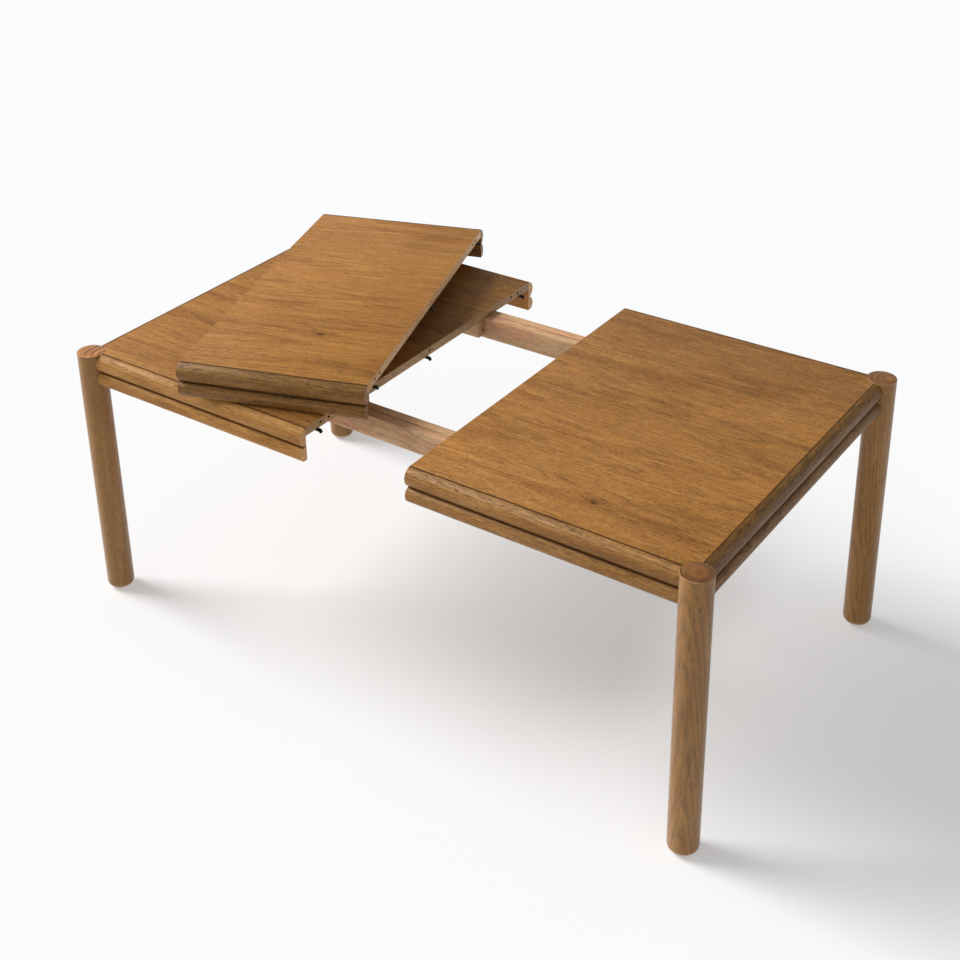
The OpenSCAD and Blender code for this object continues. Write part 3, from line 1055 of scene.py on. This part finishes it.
leg(
    "left_near_leg",
    Cut("Z", 21, (0.040, 0.030), 0.03),
    LEG_LOOK._replace(end=rgb(206, 138, 72)),
)
leg("left_far_leg", Cut("Z", 23, (-0.030, 0.020), -0.02))
leg("right_near_leg", Cut("Z", 25, (-0.004, 0.036), 0.045))
leg("right_far_leg", Cut("Z", 27, (0.020, 0.030), 0.03))

for far, where in ((-1, "near"), (1, "far")):
    look = SLIDE_LOOK if far > 0 else ROSY_LOOK
    left_cut, right_cut = Cut(seed=31 + far, pith=(0.1, 0.6)), Cut(seed=37 + far, pith=(0.2, 0.6))
    rail(f"left_{where}_rail", far, LEFT_SCREW_XS, -far, left_cut, look)
    rail(f"right_{where}_rail", -far, RIGHT_SCREW_XS, far, right_cut, look)
    rail(f"{where}_centre_rail", 0, (), 0, Cut(seed=39 + far, pith=(0.1, 0.5)), look)

black = metal("black_steel_worn", rgb(26, 26, 28), rgb(74, 72, 70), 0.42, 0.6)
zinc = metal("zinc_steel_brushed", rgb(176, 176, 172), rgb(206, 204, 198), 0.36, 1.0)
grey_felt = felt("felt_grey")
hooks("left_hooks", TABLE, -SEAM_X, 1, black)
hooks("leaf_hooks", LEAF, LEAF_W / 2, 1, black)

CARRIED = {
    "zinc_steel": zinc,
    "black_steel": black,
    "glide": grey_felt,
    "inner_wood": wood("inner_beech", INNER_LOOK, Cut(seed=43, pith=(0.1, 0.5))),
}
for carried in frame["nodes"].values():
    if not carried.hide_render:
        carried.material_slots[0].material = CARRIED[carried.material_slots[0].material.name]


# ---- Stage ----
FLOOR_SPAN = 80
FLOOR_WHITE = 0.62
FLOOR_GLOW = 0.34
FLOOR_TINT = (0.985, 1.0, 1.015, 1.0)
SKY_SIDES = (0.10, 0.58)
SKY_FROM = (-0.70, -0.70, 0.0)
SKY_BAND = (0.05, 0.22)
HORIZON = 0.95
KEY_ENERGY = 3.3
KEY_SPREAD = math.radians(30)
KEY_TRAVEL = Vector((0.76, 0.17, -0.64))

# The camera looks along forward, with right and down across its picture
EYE = (2.1043, -3.0012, 2.6999)
VIEW_RIGHT = Vector((0.8148, 0.5793, -0.0210))
VIEW_DOWN = Vector((0.2283, -0.3539, -0.9070))
VIEW_FORWARD = Vector((-0.5329, 0.7343, -0.4206))
SENSOR = 36.0
LENS = 58.755
SHIFT = (0.0264, -0.2083)
FAR_CLIP = 100.0


def floor():
    """A pale floor that gives a little light of its own, so that its shadows stay soft."""
    bpy.ops.mesh.primitive_plane_add(size=FLOOR_SPAN)
    plane = bpy.context.object
    plane.name = "floor"
    g = Graph("floor_white")
    g.put(g.shader["Emission Color"], FLOOR_TINT)
    g.put(g.shader["Emission Strength"], FLOOR_GLOW)
    plane.data.materials.append(g.finish((FLOOR_WHITE, FLOOR_WHITE, FLOOR_WHITE, 1.0), 1.0, 0.0))


def graded(nodes, value, low, high, bottom=0.0, top=1.0, kind="LINEAR"):
    """A map range node that takes value from low to high on to bottom to top."""
    node = nodes.new("ShaderNodeMapRange")
    node.interpolation_type = kind
    node.id_data.links.new(value, node.inputs["Value"])
    ends = zip(("From Min", "From Max", "To Min", "To Max"), (low, high, bottom, top))
    for name, number in ends:
        node.inputs[name].default_value = number
    return node


def world():
    """Soft light from all round: white at the horizon, dimmer above and away from SKY_FROM."""
    made = bpy.data.worlds.new("studio")
    bpy.context.scene.world = made
    made.use_nodes = True
    nodes, links = made.node_tree.nodes, made.node_tree.links
    split = nodes.new("ShaderNodeSeparateXYZ")
    towards = nodes.new("ShaderNodeTexCoord").outputs["Generated"]
    links.new(towards, split.inputs[0])
    lean = nodes.new("ShaderNodeVectorMath")
    lean.operation = "DOT_PRODUCT"
    links.new(towards, lean.inputs[0])
    lean.inputs[1].default_value = SKY_FROM
    side = graded(nodes, lean.outputs["Value"], -1, 1, *SKY_SIDES)
    rise = graded(nodes, split.outputs["Z"], *SKY_BAND, bottom=HORIZON, kind="SMOOTHSTEP")
    links.new(side.outputs[0], rise.inputs["To Max"])
    links.new(rise.outputs[0], nodes["Background"].inputs["Strength"])
    nodes["Background"].inputs["Color"].default_value = (1.0, 1.0, 1.0, 1.0)


def key_light():
    lamp = bpy.data.lights.new("key", "SUN")
    lamp.energy = KEY_ENERGY
    lamp.angle = KEY_SPREAD
    key = bpy.data.objects.new("key", lamp)
    key.rotation_mode = "QUATERNION"
    key.rotation_quaternion = KEY_TRAVEL.to_track_quat("-Z", "Y")
    bpy.context.scene.collection.objects.link(key)


def camera():
    """The photograph's viewpoint."""
    lens = bpy.data.cameras.new("camera")
    lens.sensor_width = SENSOR
    lens.lens = LENS
    lens.shift_x, lens.shift_y = SHIFT
    lens.clip_end = FAR_CLIP
    eye = bpy.data.objects.new("camera", lens)
    turn = Matrix((VIEW_RIGHT, -VIEW_DOWN, -VIEW_FORWARD)).transposed().to_4x4()
    eye.matrix_world = Matrix.Translation(EYE) @ turn
    bpy.context.scene.collection.objects.link(eye)
    bpy.context.scene.camera = eye


floor()
world()
key_light()
camera()
bpy.context.scene.view_settings.view_transform = "Standard"
